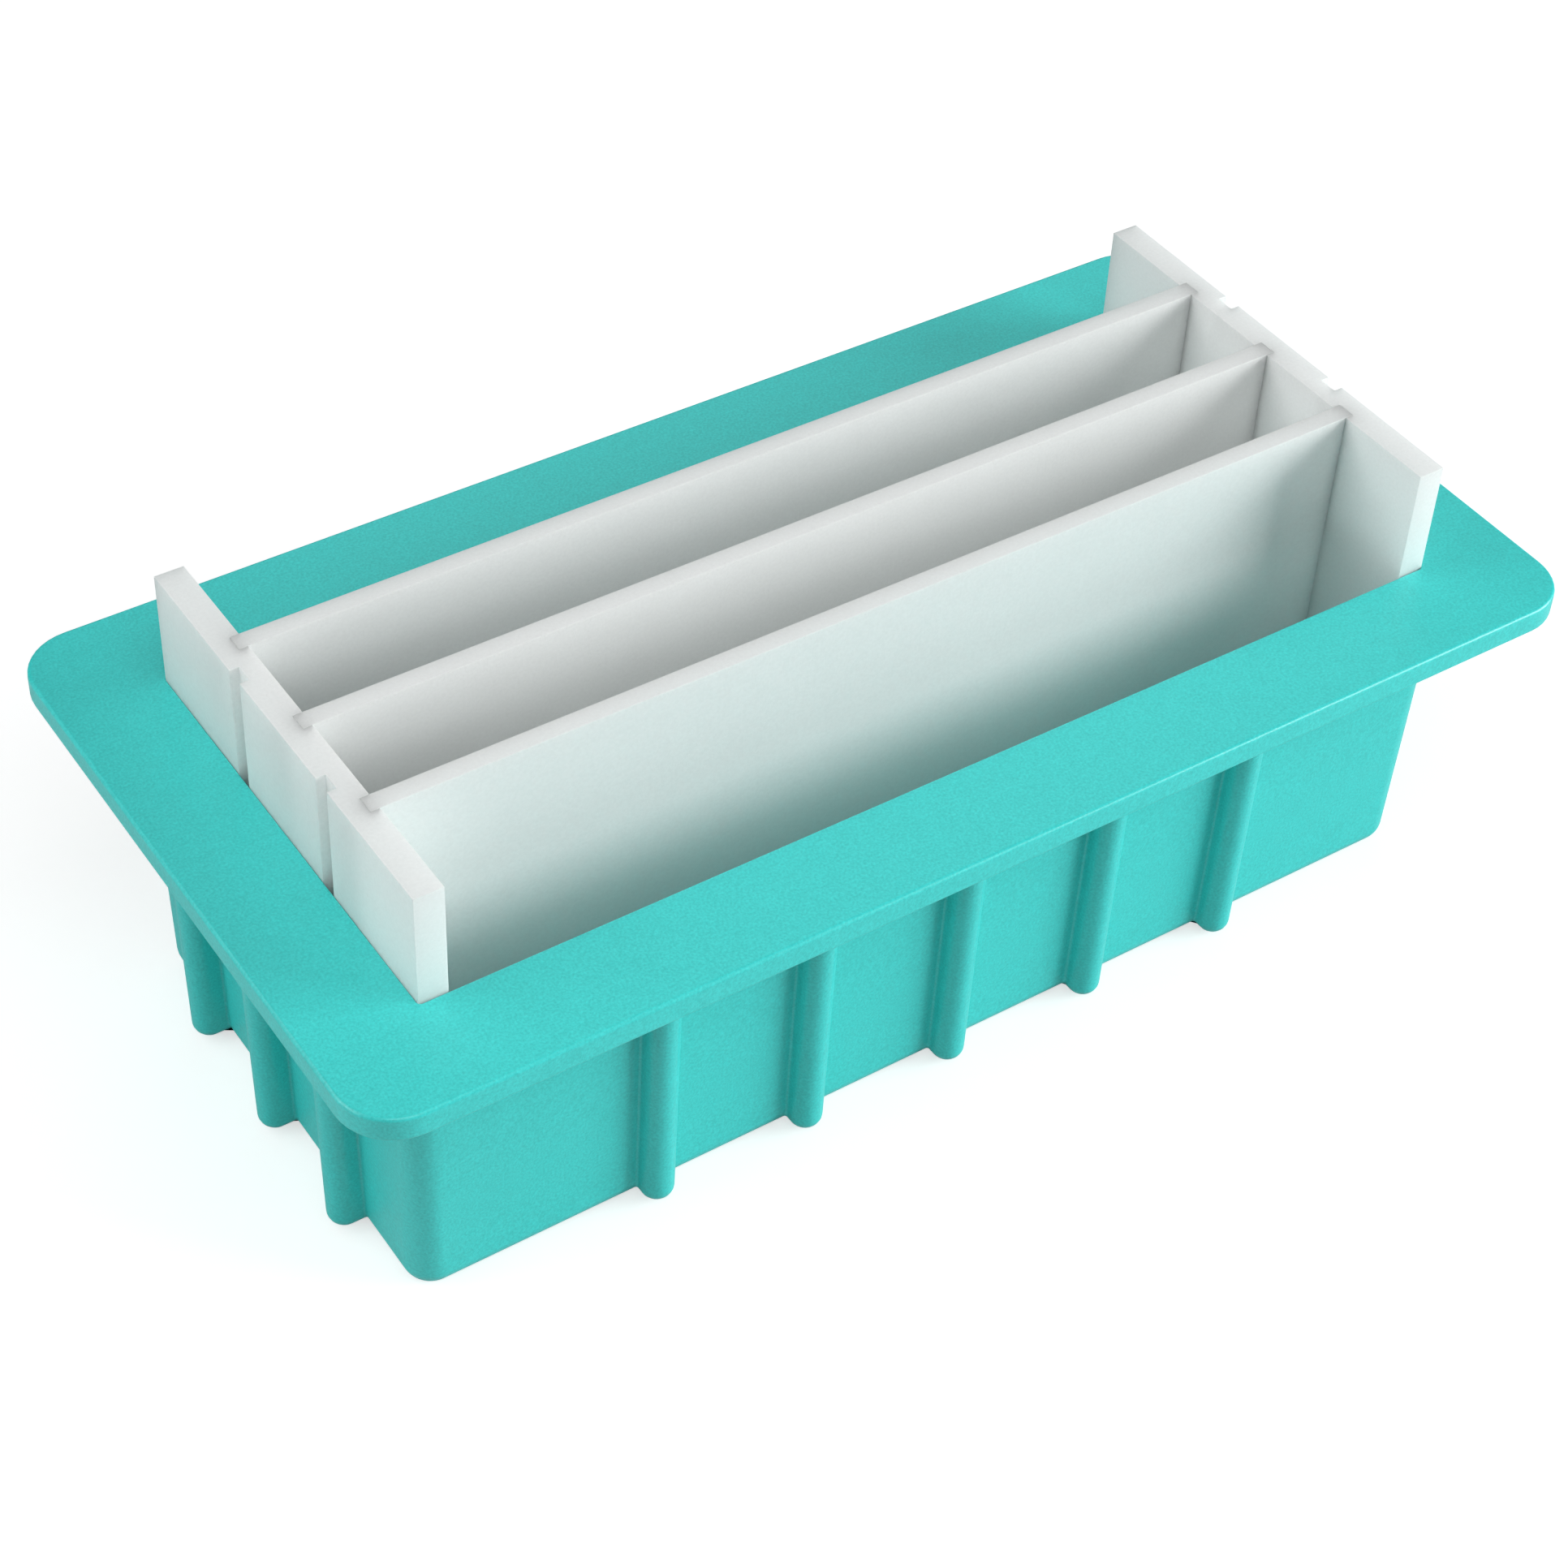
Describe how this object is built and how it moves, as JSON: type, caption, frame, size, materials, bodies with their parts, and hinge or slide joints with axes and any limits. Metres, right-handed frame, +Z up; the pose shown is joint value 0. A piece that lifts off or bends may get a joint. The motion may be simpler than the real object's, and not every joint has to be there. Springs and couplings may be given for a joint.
{
  "type": "silicone soap mould",
  "caption": "Wide-flanged ribbed loaf tray in soft silicone, with grooved end plates and long dividers that lift out and split it into bar channels.",
  "frame": {"origin": "on the supporting surface, under the middle of the tray", "axes": "+X along the tray towards the right end plate, +Y across it towards the back divider, +Z up"},
  "size_m": [0.284, 0.148, 0.104],
  "materials": {
    "silicone": "satin turquoise silicone rubber, fine mould texture",
    "frosted_plastic": "frosted translucent white polyolefin sheet, saw-cut edges"
  },
  "bodies": {
    "mould": {"silicone_mould": "silicone"},
    "left_plate": {"end_plate_left": "frosted_plastic"},
    "right_plate": {"end_plate_right": "frosted_plastic"},
    "front_divider": {"divider_front": "frosted_plastic"},
    "middle_divider": {"divider_middle": "frosted_plastic"},
    "back_divider": {"divider_back": "frosted_plastic"}
  },
  "joints": [
    {"name": "left_plate_lift", "type": "slide", "parent": "mould", "child": "left_plate", "axis": [0, 0, 1], "range_m": [0, 0.08]},
    {"name": "right_plate_lift", "type": "slide", "parent": "mould", "child": "right_plate", "axis": [0, 0, 1], "range_m": [0, 0.08]},
    {"name": "front_divider_lift", "type": "slide", "parent": "mould", "child": "front_divider", "axis": [0, 0, 1], "range_m": [0, 0.105]},
    {"name": "middle_divider_lift", "type": "slide", "parent": "mould", "child": "middle_divider", "axis": [0, 0, 1], "range_m": [0, 0.105]},
    {"name": "back_divider_lift", "type": "slide", "parent": "mould", "child": "back_divider", "axis": [0, 0, 1], "range_m": [0, 0.105]}
  ]
}
